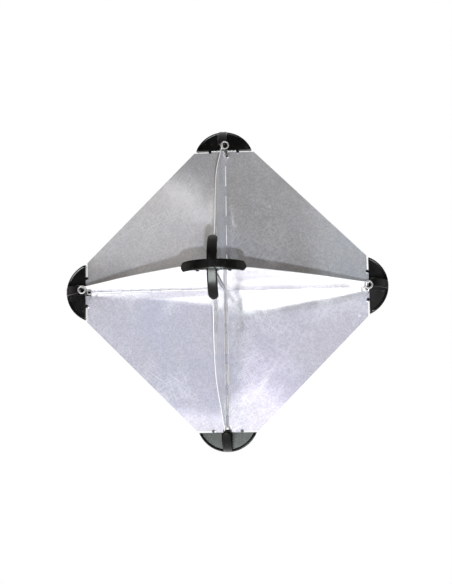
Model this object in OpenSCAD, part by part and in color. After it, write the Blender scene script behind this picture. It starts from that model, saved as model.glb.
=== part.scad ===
// Octahedral radar reflector that folds flat.
// One full square sheet stands in the XZ plane. Eight quarter sheets (leaves) hinge on it: four in
// front (-Y) and four behind (+Y). Six moulded caps plug on to the six corners and lock the leaves
// square to each other. The origin is the point where the three sheet planes cross, and +Z is up.

/* [Sheets] */
// Side of the full square before its corners are cut
side = 300; // [240:10:400]
// Thickness of every aluminium sheet
sheet_t = 0.8; // [0.6:0.1:1.0]
// Half width of the tab that plugs into a cap
tab_half = 16; // [14:0.5:18]
// How far a tab reaches into its cap
tab_reach = 13; // [8:0.5:13]
// How far a sheet's shoulder stays back from the cap's straight edge
shoulder_gap = 2; // [1:0.5:3]

/* [Hinges] */
// Diameter of the hinge wires
wire_d = 1.6; // [1.4:0.1:2.0]
// Radial play between a hinge wire and its rolled knuckles
hinge_play = 0.06; // [0.03:0.01:0.1]
// Knuckles along one hinge wire, the sheet's own included
knuckle_count = 13; // [7:3:13]
// Gap between neighbouring knuckles
knuckle_gap = 0.4; // [0.3:0.1:1.0]
// Gap between the sheet and the knuckles that turn in its windows
knuckle_room = 0.34; // [0.3:0.02:0.6]
// Mean diameter of the eye at a hinge wire's outer end
eye_d = 5.2; // [4.6:0.2:5.4]

/* [Corner caps] */
// Distance from the full square's sharp corner to a cap's straight edge
cap_inset = 35.6; // [35:0.2:37]
// Radius of a cap's round outer edge
cap_r = 38; // [37:0.5:39]
// Height of a cap from its straight edge to its crown
cap_rise = 23.5; // [22.5:0.5:24]
// Thickness of a cap's wings
web_t = 7; // [6:0.5:8]
// Width of the thick rim that follows a cap's round edge
rim_w = 11; // [9:0.5:12]
// Thickness of that rim
rim_t = 3.2; // [2:0.2:4]
// Diameter of the solid core where a cap's wings cross
core_d = 13; // [12:0.5:15]
// Diameter of the round teeth on a cap's straight edge
tooth_d = 3.6; // [3:0.2:4.2]
// Length of those teeth, across the wing
tooth_len = 8.4; // [7:0.2:10]

/* [Rings] */
// Mean diameter of the lashing rings
ring_d = 8.6; // [8.4:0.2:9.4]
// Diameter of the ring wire
ring_wire_d = 1.8; // [1.4:0.2:1.8]
// Diameter of the lashing hole in a leaf
lash_hole_d = 4.4; // [4.4:0.1:4.8]
// Metal left between that hole and the leaf's shoulder
lash_land = 1.6; // [1.4:0.1:1.8]

/* [Hidden] */
$fn = 48;

half_diag = side / sqrt(2);                      // centre to a sharp corner of the square
cap_base = half_diag - cap_inset;                // centre to a cap's straight edge
shoulder = cap_base - shoulder_gap;              // centre to a sheet's cut corner
tab_end = cap_base + tab_reach;                  // centre to the end of a tab
bore_r = wire_d / 2 + hinge_play;                // inside of a rolled knuckle
knuckle_r = bore_r + sheet_t;                    // outside of a rolled knuckle
leaf_offset = bore_r + sheet_t / 2;              // a leaf's middle plane, off its hinge axis
relief = knuckle_r + knuckle_room;               // a sheet's edge, clear of the turning knuckles
strap_lap = 0.5;                                 // how far a knuckle's strap runs into its leaf
over = 1;                                        // how far a cut runs past what it is cut from

eye_r = eye_d / 2 + wire_d / 2;                  // outside of the eye at a hinge wire's outer end
eye_at = cap_base - eye_r - 1;                   // centre of that eye
notch_from = eye_at - eye_r - 0.4;               // inner end of the notch round it
hinge_from = 5.5;                                // inner end of the first knuckle
hinge_to = eye_at - eye_r - 0.5;                 // outer end of the last one
wire_from = hinge_from + 0.3;                    // inner end of a hinge wire
pitch = (hinge_to - hinge_from + knuckle_gap) / knuckle_count;
knuckle_len = pitch - knuckle_gap;
own_knuckle = 0;                                 // knuckle i belongs to the sheet when i % 3 is this,
front_knuckle = 1;                               // to the front leaf when it is this,
rear_knuckle = 2;                                // and to the rear leaf when it is this

rim_facets = 4;                                  // bevels that round over each side of a cap's rim
core_flat = core_d / 2 - 2.3;                    // how close a cap's slots come to its axis
root = cap_base - 1.5;                           // where a leaf steps back to clear that core
notch_half = max(eye_r + 0.8, core_flat + 0.2);  // half width of an eye's notch, clear of both
slot_clear = 0.15;                               // play on each side of a sheet in a slot
tab_clear = 0.4;                                 // play at the edges and end of a tab
slot_mouth = shoulder_gap - 0.3;                 // how far a slot's wide mouth stays below the edge
tooth_at = tab_half + 1.5;                       // a tooth's place along the straight edge
tooth_drop = tooth_d / 2 - 0.1;                  // how far a tooth's centre lies below that edge
arc_centre = cap_rise - cap_r;                   // centre of the round edge, from the straight edge
arm_half = sqrt(cap_r * cap_r - arc_centre * arc_centre); // half length of the straight edge

hole_u = shoulder - lash_land - lash_hole_d / 2; // lashing hole, out along the leaf's hinge
hole_v = arm_half + ring_wire_d / 2 + 0.3;       // and off the hinge, just clear of the cap's arm
land_u = shoulder - lash_land / 2;               // middle of the strip a ring turns on
land_diag = sqrt(lash_land * lash_land + sheet_t * sheet_t);
ring_reach = (ring_d - ring_wire_d - land_diag) / 2 - 0.06; // a ring's centre, off that middle

aluminium = "silver";
black = [0.07, 0.07, 0.07];
steel = [0.8, 0.78, 0.76];

function knuckle_start(i) = hinge_from + i * pitch;

// Corner outline of a sheet beyond its hinge relief, for one corner on the +u axis.
// Points run from the axis side outwards: inner side of the tab, tab end, shoulder.
function tab_points(inner) = [
    [tab_end, inner], [tab_end, tab_half], [shoulder, tab_half], [shoulder, half_diag - shoulder],
];

// The same points for the corner on the +v axis, back towards the first one.
function turned(points) = [for (i = [len(points) - 1 : -1 : 0]) [points[i].y, points[i].x]];

// One rolled knuckle's tube along +Z.
module tube(from, len) {
    translate([0, 0, from]) difference() {
        cylinder(h = len, r = knuckle_r);
        translate([0, 0, -over]) cylinder(h = len + 2 * over, r = bore_r);
    }
}

// A quarter of the full sheet's outline, in x > 0, z > 0 drawn as x, y.
module quarter_outline() {
    polygon(concat(
        [[0, 0], [notch_from, 0], [notch_from, notch_half]],
        tab_points(notch_half),
        turned(tab_points(notch_half)),
        [[notch_half, notch_from], [0, notch_from]]
    ));
}

// What is cut from the full sheet on the +Z arm: one bore for the hinge wire, from its inner end to
// the notch for its eye, and a window wherever leaf knuckles turn.
module hinge_cuts() {
    translate([0, 0, hinge_from - knuckle_gap / 2]) cylinder(h = eye_at - hinge_from, r = bore_r);
    for (i = [0 : knuckle_count - 1])
        if (i % 3 != own_knuckle)
            translate([-relief, -knuckle_r, knuckle_start(i) - knuckle_gap])
                cube([2 * relief, 2 * knuckle_r, knuckle_len + 2 * knuckle_gap]);
}

module main_plate() {
    color(aluminium) difference() {
        union() {
            rotate([90, 0, 0]) linear_extrude(height = sheet_t, center = true)
                for (turn = [0 : 90 : 270]) rotate(turn) quarter_outline();
            for (turn = [0 : 90 : 270]) rotate([0, turn, 0])
                for (i = [own_knuckle : 3 : knuckle_count - 1])
                    translate([0, 0, knuckle_start(i)]) cylinder(h = knuckle_len, r = knuckle_r);
        }
        for (turn = [0 : 90 : 270]) rotate([0, turn, 0]) hinge_cuts();
    }
}

// A leaf as the front upper one: hinged on +Z, its free corner at -Y, its sheet on the +X side.
// own is the knuckle it has in each group of three, and lashed gives it a lashing hole.
module leaf(own, lashed) {
    inner = core_flat + tab_clear;
    outline = concat(
        [[relief, relief], [root, relief], [root, inner]],
        tab_points(inner),
        turned(tab_points(inner)),
        [[inner, root], [relief, root]]
    );
    color(aluminium) difference() {
        union() {
            // (u, v) of the outline become (z, -y)
            translate([bore_r, 0, 0]) rotate([0, 90, 0]) rotate(180)
                linear_extrude(height = sheet_t) polygon(outline);
            for (i = [own : 3 : knuckle_count - 1]) {
                tube(knuckle_start(i), knuckle_len);
                translate([bore_r, -relief - strap_lap, knuckle_start(i)])
                    cube([sheet_t, relief + strap_lap, knuckle_len]);
            }
        }
        for (i = [own : 3 : knuckle_count - 1])
            translate([0, 0, knuckle_start(i) - over])
                cylinder(h = knuckle_len + 2 * over, r = bore_r);
        if (lashed)
            translate([0, -hole_v, hole_u]) rotate([0, 90, 0])
                cylinder(h = knuckle_r + over, d = lash_hole_d);
    }
}

// turn swings a leaf round the Y axis: 0 is up, 90 right, 180 down, 270 left.
module front_leaf(turn, lashed = true) rotate([0, turn, 0]) leaf(front_knuckle, lashed);
module rear_leaf(turn) rotate([0, 0, 180]) rotate([0, -turn, 0]) leaf(rear_knuckle, false);

// A hinge wire on +Z: straight through the knuckles, with a round eye in the sheet's plane.
module hinge_wire(turn) {
    color(steel) rotate([0, turn, 0]) {
        translate([0, 0, wire_from])
            cylinder(h = eye_at - eye_d / 2 - wire_from, d = wire_d, $fn = 24);
        translate([0, 0, eye_at]) rotate([90, 0, 0])
            rotate_extrude() translate([eye_d / 2, 0]) circle(d = wire_d, $fn = 24);
    }
}

// One side of the outline of a wing's thick rim, rounded over. x runs out from the arc's centre.
function rim_side(side_y) = [for (i = [0 : rim_facets]) [
    cap_r - rim_t / 2 - side_y * rim_t / 2 * cos(180 * i / rim_facets),
    side_y * ((rim_w - rim_t) / 2 + rim_t / 2 * sin(180 * i / rim_facets)),
]];

// One wing pair of a cap: a disc in the XZ plane with its thick rim, rounded where its arms end.
// It is cut off straight at z = 0 later.
module wing_pair() {
    end_r = rim_w / 2 + 0.15;
    intersection() {
        translate([0, 0, arc_centre]) rotate([90, 0, 0]) rotate_extrude($fn = 96)
            polygon(concat(
                [[0, -web_t / 2], [0, web_t / 2], [cap_r - rim_t, web_t / 2]], rim_side(1),
                rim_side(-1), [[cap_r - rim_t, -web_t / 2]]
            ));
        union() {
            translate([end_r - arm_half, -rim_w, -over])
                cube([2 * (arm_half - end_r), 2 * rim_w, 2 * cap_rise]);
            for (side_x = [-1, 1])
                translate([side_x * (arm_half - end_r), 0, -over])
                    cylinder(h = 2 * cap_rise, r = end_r);
        }
    }
}

// The two round teeth on a wing pair's straight edge, either side of the tab.
module teeth() {
    for (side_x = [-1, 1])
        translate([side_x * tooth_at, tooth_len / 2, -tooth_drop]) rotate([90, 0, 0])
            cylinder(h = tooth_len, d = tooth_d, $fn = 24);
}

// The slot for a tab in the wing that runs along +X, its middle plane at y = off.
module tab_slot(off) {
    half = sheet_t / 2 + slot_clear;
    below = tooth_d + over;
    translate([core_flat, off - half, -below])
        cube([tab_half + tab_clear - core_flat, 2 * half, below + tab_reach + tab_clear]);
    translate([core_flat, off - half, -below])
        cube([tooth_at + tooth_d - core_flat, 2 * half, below - slot_mouth]);
}

// A whole cap with its crown at +Z. offsets gives the middle plane of each wing's slot.
module cap(offsets) {
    color(black) difference() {
        union() {
            difference() {
                union() {
                    wing_pair();
                    rotate(90) wing_pair();
                    translate([0, 0, -over]) cylinder(h = cap_rise - rim_t / 2 + over, d = core_d);
                }
                translate([-side / 2, -side / 2, -side]) cube(side);
            }
            teeth();
            rotate(90) teeth();
        }
        for (k = [0 : 3]) rotate(90 * k) tab_slot(offsets[k]);
    }
}

// Caps on the full sheet's four corners: it fills two slots, a front and a rear leaf the others.
module sheet_cap(turn)
    rotate([0, turn, 0]) translate([0, 0, cap_base]) cap([0, leaf_offset, 0, leaf_offset]);

// Caps where four leaf corners meet, at -Y and +Y.
module leaf_cap(turn)
    rotate([0, 0, turn]) translate([0, -cap_base, 0]) rotate([90, 0, 0])
        cap([-leaf_offset, -leaf_offset, -leaf_offset, -leaf_offset]);

// A lashing ring through the hole of the front leaf at turn. It turns about the strip between the
// hole and the leaf's shoulder. lean is its angle from straight out.
module lashing_ring(turn, lean) {
    color(steel) rotate([0, turn, 0])
        translate([leaf_offset, -hole_v, land_u]) rotate([0, lean, 0])
            translate([0, 0, ring_reach]) rotate([90, 0, 0])
                rotate_extrude() translate([ring_d / 2, 0]) circle(d = ring_wire_d, $fn = 24);
}

main_plate();
front_leaf(0);  // front_upper_leaf
front_leaf(90);  // front_right_leaf
front_leaf(180, lashed = false);  // front_lower_leaf
front_leaf(270);  // front_left_leaf
rear_leaf(0);  // rear_upper_leaf
rear_leaf(90);  // rear_right_leaf
rear_leaf(180);  // rear_lower_leaf
rear_leaf(270);  // rear_left_leaf
hinge_wire(0);  // upper_hinge_wire
hinge_wire(90);  // right_hinge_wire
hinge_wire(180);  // lower_hinge_wire
hinge_wire(270);  // left_hinge_wire
sheet_cap(0);  // top_cap
sheet_cap(90);  // right_cap
sheet_cap(180);  // bottom_cap
sheet_cap(270);  // left_cap
leaf_cap(0);  // front_cap
leaf_cap(180);  // rear_cap
lashing_ring(0, 90);  // top_lashing_ring
lashing_ring(270, -90);  // left_lashing_ring
lashing_ring(90, 90);  // right_lashing_ring
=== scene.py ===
import math

import bmesh
import bpy
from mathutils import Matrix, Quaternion, Vector


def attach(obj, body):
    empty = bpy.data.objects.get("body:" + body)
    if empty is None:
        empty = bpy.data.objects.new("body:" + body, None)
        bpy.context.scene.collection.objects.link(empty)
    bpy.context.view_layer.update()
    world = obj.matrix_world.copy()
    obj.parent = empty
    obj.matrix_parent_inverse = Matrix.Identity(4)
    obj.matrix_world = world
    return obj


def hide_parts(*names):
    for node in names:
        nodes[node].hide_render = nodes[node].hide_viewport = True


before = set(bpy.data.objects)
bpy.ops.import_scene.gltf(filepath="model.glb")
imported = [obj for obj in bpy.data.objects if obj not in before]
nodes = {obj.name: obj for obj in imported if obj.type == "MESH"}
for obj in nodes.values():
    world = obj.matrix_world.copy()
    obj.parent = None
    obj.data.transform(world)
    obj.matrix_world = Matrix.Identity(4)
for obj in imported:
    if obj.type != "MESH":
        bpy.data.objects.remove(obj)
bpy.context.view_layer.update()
scene = bpy.context.scene

PLACES = ("upper", "right", "lower", "left")
CAP_PLACES = ("top", "right", "bottom", "left", "front", "rear")
OUTWARD = {"upper": (0, 0, 1), "right": (1, 0, 0), "lower": (0, 0, -1), "left": (-1, 0, 0)}
LEAF_SIDE = {"upper": (1, 0, 0), "right": (0, 0, -1), "lower": (-1, 0, 0), "left": (0, 0, 1)}
# How far each leaf's free edge is sprung out of flat, in metres along its side, and how far along
# that edge, from the cap on its hinge axis, it bows most.
SPRUNG = {
    "front_upper_leaf": (-0.0050, 0.26),
    "front_right_leaf": (-0.0010, 0.5),
    "front_lower_leaf": (0.0042, 0.45),
    "front_left_leaf": (0.0012, 0.5),
    "rear_upper_leaf": (-0.0016, 0.4),
    "rear_right_leaf": (0.0014, 0.6),
    "rear_lower_leaf": (0.0012, 0.5),
    "rear_left_leaf": (-0.0012, 0.45),
}
# How steeply the square sheet leaves its hinge line towards +Y in each quarter, by the signs of x and z.
BELLY = {(1, 1): -0.010, (1, -1): -0.040, (-1, 1): 0.010, (-1, -1): 0.014}
# From the centre of the square sheet to its sharp corner.
HALF_DIAGONAL = 0.212
# A leaf bows where its reach outward and its reach forward or back differ by under half of this.
BOW_SPAN = 0.274
# The sheets are cut every GRID_STEP, GRID_LINES times on each side of the centre, so that they can bend.
GRID_STEP = 0.008
GRID_LINES = 24
SHEET_METALLIC = 0.64
# Roughness of the clearest and the cloudiest patches of the sheet's oxide film, before its fine mottle.
FILM_LOW, FILM_HIGH = 0.058, 0.088
# The moulded caps' edges are rounded by this much, where two faces meet at more than CAP_EDGE_ANGLE.
CAP_EDGE_ROUND = 0.0005
CAP_EDGE_ANGLE = math.radians(32)
# The floor lies below the lowest cap and is lit from within, so that it stays pale.
FLOOR_HEIGHT = -0.85
FLOOR_RADIUS = 2.9


# ---------------------------------------------------------------- materials
class Graph:
    """A material's node graph, with short calls for the nodes used here."""

    def __init__(self, name, **values):
        self.material = bpy.data.materials.new(name)
        self.material.use_nodes = True
        self.tree = self.material.node_tree
        self.shader = self.tree.nodes["Principled BSDF"]
        for key, value in values.items():
            self.shader.inputs[key.replace("_", " ")].default_value = value
        coordinates = self.tree.nodes.new("ShaderNodeTexCoord")
        self.where = coordinates.outputs["Object"]
        self.facing = coordinates.outputs["Normal"]

    def node(self, kind, **inputs):
        made = self.tree.nodes.new("ShaderNode" + kind)
        for key, value in inputs.items():
            self.put(made.inputs[key.replace("_", " ")], value)
        return made

    def put(self, socket, value):
        if isinstance(value, bpy.types.NodeSocket):
            self.tree.links.new(value, socket)
        else:
            socket.default_value = value

    def noise(self, scale, detail=3.0, rough=0.5, stretch=(1, 1, 1), turn=(0, 0, 0), shift=(0, 0, 0)):
        """Noise, turned first and then stretched, so that long marks can lie any way."""
        place = self.node("Mapping", Vector=self.where)
        place.vector_type = "TEXTURE"
        place.inputs["Location"].default_value = shift
        place.inputs["Rotation"].default_value = turn
        place.inputs["Scale"].default_value = [1 / s for s in stretch]
        return self.node(
            "TexNoise", Vector=place.outputs[0], Scale=scale, Detail=detail, Roughness=rough
        ).outputs["Fac"]

    def spots(self, scale, low, high):
        """Round spots: 1 at a cell's middle, falling to 0 between low and high away from it."""
        cells = self.node("TexVoronoi", Vector=self.where, Scale=scale)
        return self.step(cells.outputs["Distance"], low, high, 1.0, 0.0)

    def step(self, value, low, high, to_low=0.0, to_high=1.0):
        """A smooth ramp from to_low at low to to_high at high."""
        made = self.node("MapRange", Value=value)
        made.interpolation_type = "SMOOTHSTEP"
        made.inputs["From Min"].default_value = low
        made.inputs["From Max"].default_value = high
        made.inputs["To Min"].default_value = to_low
        made.inputs["To Max"].default_value = to_high
        return made.outputs[0]

    def maths(self, kind, a, b=0.0):
        made = self.tree.nodes.new("ShaderNodeMath")
        made.operation = kind
        self.put(made.inputs[0], a)
        self.put(made.inputs[1], b)
        return made.outputs[0]

    def mix(self, share, a, b):
        made = self.tree.nodes.new("ShaderNodeMix")
        made.data_type = "RGBA"
        self.put(made.inputs["Factor"], share)
        self.put(made.inputs["A"], a)
        self.put(made.inputs["B"], b)
        return made.outputs["Result"]

    def bump(self, height, strength, distance, under=None):
        made = self.node("Bump", Height=height)
        made.inputs["Strength"].default_value = strength
        made.inputs["Distance"].default_value = distance
        if under is not None:
            self.put(made.inputs["Normal"], under)
        return made.outputs[0]

    def out(self, name, value):
        self.put(self.shader.inputs[name], value)


def sheet_material(name, normal_axis, shift):
    """Rolled aluminium sheet whose faces point along normal_axis (0, 1 or 2).

    A bright mirror under a mottled oxide film, with fine scratches, specks, a slight oil-can wave
    and sheared edges painted paler: partly their own duller cut finish, partly a painted highlight.
    """
    g = Graph(name)
    cloud = g.noise(7.0, 3.0, 0.55, shift=shift)
    patch = g.noise(19.0, 4.0, 0.6, shift=(shift[1], shift[2], shift[0]))
    mottle = g.noise(130.0, 3.0, 0.7, shift=shift)
    pitting = g.noise(420.0, 2.0, 0.6, shift=shift)
    grit = g.noise(900.0, 2.0, 0.6)
    cool, warm = (0.745, 0.765, 0.85, 1), (0.83, 0.79, 0.785, 1)
    tone = g.mix(g.step(cloud, 0.38, 0.62), cool, warm)
    tone = g.mix(g.step(patch, 0.35, 0.75), tone, (0.87, 0.85, 0.89, 1))
    tone = g.mix(g.step(mottle, 0.35, 0.68, 0.0, 0.46), tone, (0.58, 0.58, 0.61, 1))
    tone = g.mix(g.step(pitting, 0.42, 0.64, 0.0, 0.66), tone, (0.55, 0.55, 0.57, 1))
    tone = g.mix(g.step(grit, 0.44, 0.62, 0.0, 0.55), tone, (0.58, 0.58, 0.60, 1))
    worn = g.step(g.noise(16.0, 2.0, 0.5, shift=shift), 0.48, 0.6)
    scratch = None
    for angle in (0.55, -0.35, 1.15, 2.2):
        turn = [0, 0, 0]
        turn[normal_axis] = angle
        stretch = [1900, 1900, 1900]
        stretch[(normal_axis + 1) % 3] = 28
        line = g.step(g.noise(1.0, 0.0, 0.4, stretch, turn, shift), 0.66, 0.74)
        scratch = line if scratch is None else g.maths("MAXIMUM", scratch, line)
    scratch = g.maths("MULTIPLY", scratch, worn)
    small = g.spots(85.0, 0.05, 0.10)
    large = g.spots(38.0, 0.04, 0.09)
    sparse = g.step(g.noise(26.0, 1.0, 0.5), 0.50, 0.58)
    speck = g.maths("MULTIPLY", g.maths("MAXIMUM", small, large), sparse)
    mark = g.maths("MAXIMUM", g.maths("MULTIPLY", scratch, 0.8), speck)
    split = g.node("SeparateXYZ", Vector=g.facing)
    edge = g.step(g.maths("ABSOLUTE", split.outputs[normal_axis]), 0.3, 0.7, 1.0, 0.0)
    tone = g.mix(g.maths("MULTIPLY", mark, 0.85), tone, (0.97, 0.97, 0.98, 1))
    # The sheared edges (faces turned off the sheet's normal) are painted paler: partly the cut metal's
    # duller finish, partly a painted highlight along each edge.
    g.out("Base Color", g.mix(g.maths("MULTIPLY", edge, 0.6), tone, (0.88, 0.88, 0.87, 1)))
    patchy = g.step(patch, 0.3, 0.7, FILM_LOW, FILM_HIGH)
    film = g.maths("ADD", patchy, g.step(mottle, 0.3, 0.75, 0.0, 0.02))
    rough = g.maths("ADD", film, g.maths("MULTIPLY", mark, 0.12))
    g.out("Roughness", g.maths("ADD", rough, g.maths("MULTIPLY", edge, 0.22)))
    g.out("Metallic", g.maths("ADD", SHEET_METALLIC, g.maths("MULTIPLY", edge, 0.12)))
    wave = g.bump(g.noise(5.0, 1.5, 0.4, shift=shift), 0.12, 0.004)
    grainy = g.bump(grit, 0.05, 0.0001, wave)
    g.out("Normal", g.bump(mark, 0.05, 0.00005, grainy))
    return g.material


def cap_material(name):
    """Black moulded plastic with a fine spark-eroded texture, scuffs and a slight bloom."""
    g = Graph(name, IOR=1.45, Specular_IOR_Level=0.12)
    bloom = g.noise(55.0, 4.0, 0.6)
    scuff = g.step(g.noise(1.0, 3.0, 0.6, (260, 260, 40), (0.4, 0.3, 0)), 0.62, 0.72)
    tone = g.mix(g.step(bloom, 0.35, 0.7), (0.0018, 0.0016, 0.0013, 1), (0.005, 0.0048, 0.0045, 1))
    g.out("Base Color", g.mix(g.maths("MULTIPLY", scuff, 0.35), tone, (0.04, 0.04, 0.04, 1)))
    satin = g.step(bloom, 0.3, 0.7, 0.24, 0.31)
    g.out("Roughness", g.maths("ADD", satin, g.maths("MULTIPLY", scuff, 0.15)))
    texture = g.bump(g.noise(1400.0, 2.0, 0.6), 0.14, 0.0002)
    g.out("Normal", g.bump(scuff, 0.1, 0.0001, texture))
    return g.material


def wire_material(name, tint, rough):
    """Drawn stainless wire with fine lines along it and a few dull spots."""
    g = Graph(name, Metallic=0.8)
    dull = g.noise(420.0, 3.0, 0.6)
    g.out("Base Color", g.mix(g.step(dull, 0.4, 0.75), (*tint, 1), (0.45, 0.43, 0.41, 1)))
    g.out("Roughness", g.step(dull, 0.3, 0.75, rough, rough + 0.16))
    g.out("Normal", g.bump(g.noise(2600.0, 2.0, 0.5), 0.1, 0.00006))
    return g.material


plate_metal = sheet_material("rolled_aluminium_plate", 1, (0.3, 0.1, 0.7))
upright_metal = sheet_material("rolled_aluminium_upright", 0, (0.9, 0.4, 0.2))
level_metal = sheet_material("rolled_aluminium_level", 2, (0.5, 0.8, 0.1))
cap_plastic = cap_material("black_moulded_plastic")
hinge_steel = wire_material("drawn_hinge_wire", (0.66, 0.64, 0.61), 0.26)
ring_steel = wire_material("bright_ring_wire", (0.78, 0.76, 0.74), 0.18)


def dress(thing, material):
    thing.data.materials.clear()
    thing.data.materials.append(material)


# ---------------------------------------------------------------- sheets, bent slightly out of flat
def smooth(low, high, x):
    """0 below low, 1 above high, and a smooth ramp between."""
    t = max(0.0, min(1.0, (x - low) / (high - low)))
    return t * t * (3 - 2 * t)


def bent_sheet(name, axes, offset, material):
    """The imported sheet's own shape, cut into a grid along both axes and moved by offset(point)."""
    mesh = nodes[name].data.copy()
    mesh.name = name + "_bent"
    bm = bmesh.new()
    bm.from_mesh(mesh)
    bmesh.ops.remove_doubles(bm, verts=bm.verts, dist=1e-6)
    for axis in axes:
        for k in range(-GRID_LINES, GRID_LINES + 1):
            bmesh.ops.bisect_plane(
                bm, geom=bm.verts[:] + bm.edges[:] + bm.faces[:], dist=1e-7,
                plane_co=axis * (k * GRID_STEP), plane_no=axis,
            )
    for v in bm.verts:
        v.co += offset(v.co)
    for face in bm.faces:
        face.smooth = True
    for edge in bm.edges:
        edge.smooth = len(edge.link_faces) == 2 and edge.calc_face_angle(0) < math.radians(30)
    bm.to_mesh(mesh)
    bm.free()
    piece = bpy.data.objects.new(name + "_sheet", mesh)
    scene.collection.objects.link(piece)
    dress(piece, material)
    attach(piece, "sheets")
    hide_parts(name)
    return piece


def sprung_leaf(depth, place):
    """A leaf whose free edge bows sideways between its hinge and its two caps."""
    name = f"{depth}_{place}_leaf"
    out = Vector(OUTWARD[place])
    back = Vector((0, -1 if depth == "front" else 1, 0))
    side = Vector(LEAF_SIDE[place]) * (1 if depth == "front" else -1)
    bow, peak = SPRUNG[name]
    power = math.log(0.5) / math.log(peak)

    def offset(point):
        u, w = point.dot(out), point.dot(back)
        along = max(0.0, min(1.0, (w - u) / BOW_SPAN + 0.5))
        held = smooth(0.006, 0.10, w) * smooth(0.0, 0.03, u)
        return side * (bow * held * math.sin(math.pi * along ** power) ** 1.2)

    material = upright_metal if place in ("upper", "lower") else level_metal
    return bent_sheet(name, (out, back), offset, material)


def belly_offset(point):
    """How far the square sheet stands off flat: each quarter bellies between its hinges and its edge."""
    x, z = point.x, point.z
    reach = max(0.001, HALF_DIAGONAL - abs(x))
    t = min(1.0, abs(z) / reach)
    held = smooth(0.0, 0.02, abs(x)) * (1 - smooth(0.140, 0.166, max(abs(x), abs(z))))
    slope = BELLY[(1 if x >= 0 else -1, 1 if z >= 0 else -1)]
    return Vector((0, slope * reach * t * (1 - t) ** 2 * held, 0))


bent_sheet("main_plate", (Vector((1, 0, 0)), Vector((0, 0, 1))), belly_offset, plate_metal)
for depth in ("front", "rear"):
    for place in PLACES:
        sprung_leaf(depth, place)

# ---------------------------------------------------------------- carried-over pieces
for place in PLACES:
    dress(nodes[f"{place}_hinge_wire"], hinge_steel)
for place in ("top", "left", "right"):
    dress(nodes[f"{place}_lashing_ring"], ring_steel)
for place in CAP_PLACES:
    cap = nodes[f"{place}_cap"]
    dress(cap, cap_plastic)
    soften = cap.modifiers.new("soften", "BEVEL")
    soften.width = CAP_EDGE_ROUND
    soften.segments = 2
    soften.limit_method = "ANGLE"
    soften.angle_limit = CAP_EDGE_ANGLE
    soften.harden_normals = False

# ---------------------------------------------------------------- floor, light and camera
floor_mesh = bpy.data.meshes.new("floor")
bm = bmesh.new()
bmesh.ops.create_circle(bm, cap_ends=True, segments=128, radius=FLOOR_RADIUS)
bm.to_mesh(floor_mesh)
bm.free()
floor = bpy.data.objects.new("floor", floor_mesh)
floor.location = (0, 0, FLOOR_HEIGHT)
scene.collection.objects.link(floor)
pale = Graph("pale_floor", Roughness=0.8, Emission_Strength=0.80)
pale.shader.inputs["Emission Color"].default_value = (0.97, 0.98, 1.0, 1)
pale.out("Base Color", pale.mix(pale.noise(2.0), (0.82, 0.82, 0.82, 1), (0.86, 0.86, 0.86, 1)))
dress(floor, pale.material)

world = bpy.data.worlds.new("studio")
scene.world = world
world.use_nodes = True
sky = world.node_tree.nodes["Background"]
sky.inputs["Color"].default_value = (1.0, 0.95, 0.82, 1)
sky.inputs["Strength"].default_value = 0.17
seen = world.node_tree.nodes.new("ShaderNodeBackground")
seen.inputs["Color"].default_value = (1, 1, 1, 1)
seen.inputs["Strength"].default_value = 1.0
ray = world.node_tree.nodes.new("ShaderNodeLightPath")
pick = world.node_tree.nodes.new("ShaderNodeMixShader")
world.node_tree.links.new(ray.outputs["Is Camera Ray"], pick.inputs[0])
world.node_tree.links.new(sky.outputs[0], pick.inputs[1])
world.node_tree.links.new(seen.outputs[0], pick.inputs[2])
world.node_tree.links.new(pick.outputs[0], world.node_tree.nodes["World Output"].inputs["Surface"])


def panel(name, at, size, radiance, aim=(0, 0, 0), tint=(1, 1, 1), mirrored=True, roll=0.0):
    """A soft rectangular light facing aim, as bright as radiance over its whole face."""
    light = bpy.data.lights.new(name, "AREA")
    light.shape = "RECTANGLE"
    light.size, light.size_y = size
    light.energy = radiance * math.pi * size[0] * size[1]
    light.color = tint
    lamp = bpy.data.objects.new(name, light)
    lamp.location = at
    lamp.rotation_mode = "QUATERNION"
    facing = (Vector(aim) - Vector(at)).to_track_quat("-Z", "Y")
    lamp.rotation_quaternion = facing @ Quaternion((0, 0, 1), roll)
    lamp.visible_camera = False
    lamp.visible_glossy = mirrored
    scene.collection.objects.link(lamp)
    return lamp


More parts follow.
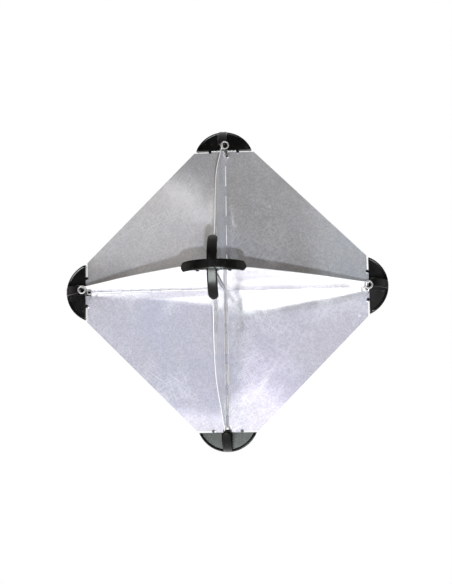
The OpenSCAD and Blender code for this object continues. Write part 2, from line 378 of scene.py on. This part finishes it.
panel("low_front_panel", (-0.22, -3.0, -0.64), (1.7, 0.58), 3.2)
panel("tip_panel", (-0.30, -3.0, -0.22), (1.2, 0.26), 0.92, tint=(0.97, 0.93, 1.0))
panel("front_panel", (-0.15, -3.0, 0.11), (1.7, 0.54), 0.50, tint=(0.71, 0.72, 1.0))
panel("rose_panel", (-0.06, -2.95, -0.05), (0.34, 0.24), 0.20, tint=(1.0, 0.60, 0.82))
panel("warm_panel", (-0.56, -3.0, 0.70), (0.49, 0.34), 0.40, tint=(1.0, 0.94, 0.87))
panel("streak_panel", (-0.38, -2.9, 0.775), (0.03, 0.28), 1.7, tint=(1.0, 0.98, 0.96), roll=0.82)
panel("cool_panel", (0.42, -3.0, 0.72), (0.5, 0.9), 0.23, tint=(0.76, 0.90, 1.0))
# A small hard lamp just below the camera. Nearly all of its light is kept out of the mirror images,
# where it would burn.
KEY_AT, KEY_SIZE, KEY_TINT = (0.105, -1.235, -0.255), (0.016, 0.016), (0.86, 0.92, 1.0)
panel("key_lamp", KEY_AT, KEY_SIZE, 700.0, tint=KEY_TINT)
panel("key_fill", KEY_AT, KEY_SIZE, 12300.0, tint=KEY_TINT, mirrored=False)
# The caps' glare comes from a lamp that lights the six caps alone, so the sheets don't mirror it.
cap_lamp = panel("cap_lamp", (0.105, -0.95, -0.50), (0.7, 0.62), 58.0, tint=(0.92, 1.0, 0.97))
cap_lamp.visible_diffuse = False
caps_only = bpy.data.collections.new("caps_only")
for place in CAP_PLACES:
    caps_only.objects.link(nodes[f"{place}_cap"])
cap_lamp.light_linking.receiver_collection = caps_only
panel("top_panel", (0.2, 0.3, 2.0), (3.2, 3.0), 0.85)
panel("rear_panel", (-0.3, 2.8, 0.3), (3.2, 2.6), 1.1)
panel("right_panel", (2.8, 0.3, 0.4), (2.4, 1.8), 0.95, tint=(0.96, 0.98, 1.0))
panel("left_panel", (-2.8, 0.3, 0.4), (2.4, 1.8), 0.75, tint=(1.0, 0.98, 0.96))

# The camera looks slightly up at the reflector, from just to the right of its front.
camera_data = bpy.data.cameras.new("camera")
camera_data.sensor_width = 36.0
camera_data.sensor_fit = "AUTO"
camera_data.lens = 62.0
camera = bpy.data.objects.new("camera", camera_data)
azimuth, elevation, roll, distance = math.radians(4.25), math.radians(-7.7), math.radians(-0.85), 1.25
away = Vector((
    math.sin(azimuth) * math.cos(elevation),
    -math.cos(azimuth) * math.cos(elevation),
    math.sin(elevation),
))
camera.location = Vector((0, 0, -0.0035)) + away * distance
camera.rotation_mode = "QUATERNION"
camera.rotation_quaternion = (-away).to_track_quat("-Z", "Y")
camera.rotation_mode = "XYZ"
camera.rotation_euler.rotate_axis("Z", roll)
scene.collection.objects.link(camera)
scene.camera = camera
scene.view_settings.view_transform = "Standard"
